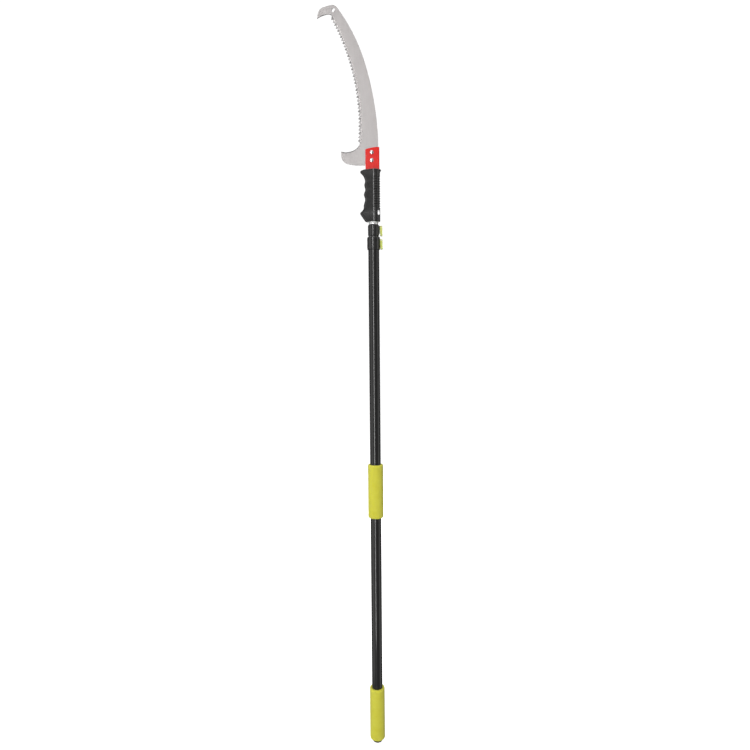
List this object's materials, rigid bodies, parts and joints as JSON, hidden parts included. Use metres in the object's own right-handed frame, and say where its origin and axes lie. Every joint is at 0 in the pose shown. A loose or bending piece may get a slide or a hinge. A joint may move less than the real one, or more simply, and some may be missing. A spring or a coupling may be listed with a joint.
{
  "type": "telescoping pole saw",
  "caption": "Telescoping lever-lock pole with foam grips and a screw-on curved pruning saw with a hook at each end of its toothed edge.",
  "frame": {"origin": "centre of the end cap's flat foot, on the axis of the pole", "axes": "+Z along the pole from the foot to the saw; the blade lies in the XZ plane with its teeth towards -X; the clamp levers face +X"},
  "size_m": [0.1687, 0.0424, 2.0266],
  "materials": {
    "pole_tube": "drawn aluminium tube with gloss black paint",
    "black_plastic": "moulded black plastic",
    "grip_foam": "lime closed-cell foam sleeve",
    "collar_plastic": "semi-gloss moulded black nylon",
    "lever_plastic": "semi-gloss moulded lime plastic",
    "shoe_rubber": "hard black rubber",
    "bush_plastic": "natural acetal",
    "washer_plastic": "natural nylon",
    "bright_alloy": "turned and polished aluminium",
    "steel_pin": "plain steel pin and rivet",
    "bright_steel": "bright zinc-plated steel",
    "handle_plastic": "moulded black plastic, satin",
    "red_paint": "red powder-coated sheet steel",
    "blade_steel": "satin hardened steel, bright ground teeth"
  },
  "bodies": {
    "outer_section": {"outer_tube": "pole_tube", "end_cap": "black_plastic", "foot_grip": "grip_foam", "mid_grip": "grip_foam", "lower_collar": "collar_plastic", "lower_lever_pin": "steel_pin", "lower_collar_rivet": "steel_pin"},
    "lower_lever": {"lower_lever": "lever_plastic"},
    "lower_shoe": {"lower_brake_shoe": "shoe_rubber"},
    "middle_section": {"middle_tube": "pole_tube", "middle_tube_bush": "bush_plastic", "upper_collar": "collar_plastic", "upper_lever_pin": "steel_pin", "upper_collar_rivet": "steel_pin"},
    "upper_lever": {"upper_lever": "lever_plastic"},
    "upper_shoe": {"upper_brake_shoe": "shoe_rubber"},
    "inner_section": {"inner_tube": "pole_tube", "inner_tube_bush": "bush_plastic", "pole_tip": "bright_alloy", "tip_rivets": "steel_pin"},
    "thrust_washer": {"thrust_washer": "washer_plastic"},
    "saw_head": {"handle": "handle_plastic", "blade_bracket": "red_paint", "saw_blade": "blade_steel", "blade_bolts": "bright_steel", "bolt_washers": "bright_steel", "blade_nuts": "bright_steel"}
  },
  "joints": [
    {"name": "middle_slide", "type": "slide", "parent": "outer_section", "child": "middle_section", "axis": [0, 0, 1], "range_m": [0, 1.05]},
    {"name": "inner_slide", "type": "slide", "parent": "middle_section", "child": "inner_section", "axis": [0, 0, 1], "range_m": [0, 1.05]},
    {"name": "lower_lever_hinge", "type": "hinge", "parent": "outer_section", "child": "lower_lever", "pos_m": [0.0206, 0, 1.4133], "axis": [0, -1, 0], "range_deg": [0, 110]},
    {"name": "lower_shoe_slide", "type": "slide", "parent": "outer_section", "child": "lower_shoe", "axis": [1, 0, 0], "range_m": [0, 0.00042]},
    {"name": "upper_lever_hinge", "type": "hinge", "parent": "middle_section", "child": "upper_lever", "pos_m": [0.0202, 0, 1.4488], "axis": [0, -1, 0], "range_deg": [0, 110]},
    {"name": "upper_shoe_slide", "type": "slide", "parent": "middle_section", "child": "upper_shoe", "axis": [1, 0, 0], "range_m": [0, 0.00042]},
    {"name": "saw_head_advance", "type": "slide", "parent": "inner_section", "child": "thrust_washer", "axis": [0, 0, 1], "range_m": [0, 0.0254]},
    {"name": "saw_head_turn", "type": "hinge", "parent": "thrust_washer", "child": "saw_head", "pos_m": [0, 0, 1.462], "axis": [0, 0, 1], "range_deg": [0, 1800]}
  ],
  "couplings": [
    {"joint": "lower_shoe_slide", "follows": "lower_lever_hinge", "m_per_rad": 0.000208},
    {"joint": "upper_shoe_slide", "follows": "upper_lever_hinge", "m_per_rad": 0.000208},
    {"joint": "saw_head_advance", "follows": "saw_head_turn", "m_per_rad": 0.0008085}
  ]
}
